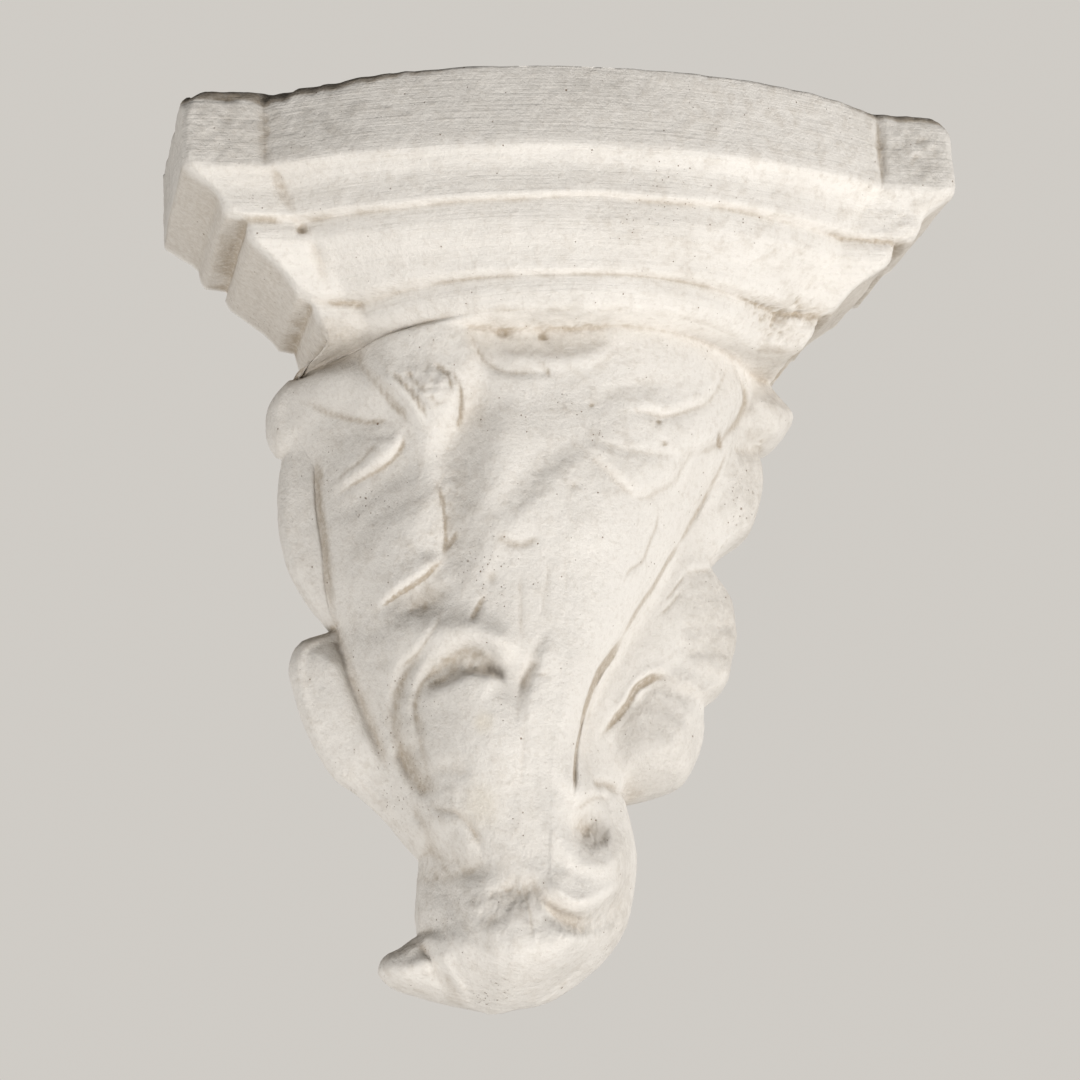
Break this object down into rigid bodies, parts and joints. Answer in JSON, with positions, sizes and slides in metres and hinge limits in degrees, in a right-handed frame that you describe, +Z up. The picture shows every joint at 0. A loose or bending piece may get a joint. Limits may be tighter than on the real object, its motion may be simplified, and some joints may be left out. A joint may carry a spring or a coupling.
{
  "type": "wall bracket",
  "caption": "Cast plaster wall bracket: a bow-fronted moulded shelf carried by an asymmetrical rococo leaf that curls forward at its foot.",
  "frame": {"origin": "on the flat back, on the bracket's centre line, 75 mm below the shelf's top: the fixing point on the wall", "axes": "+Z up, +X to the right as seen from the front, +Y into the wall, so the carved front faces -Y"},
  "size_m": [0.27, 0.106, 0.305],
  "materials": {
    "plaster": "matt, dry, slightly chalky cast plaster"
  },
  "bodies": {
    "root": {"bracket": "plaster"}
  },
  "joints": []
}
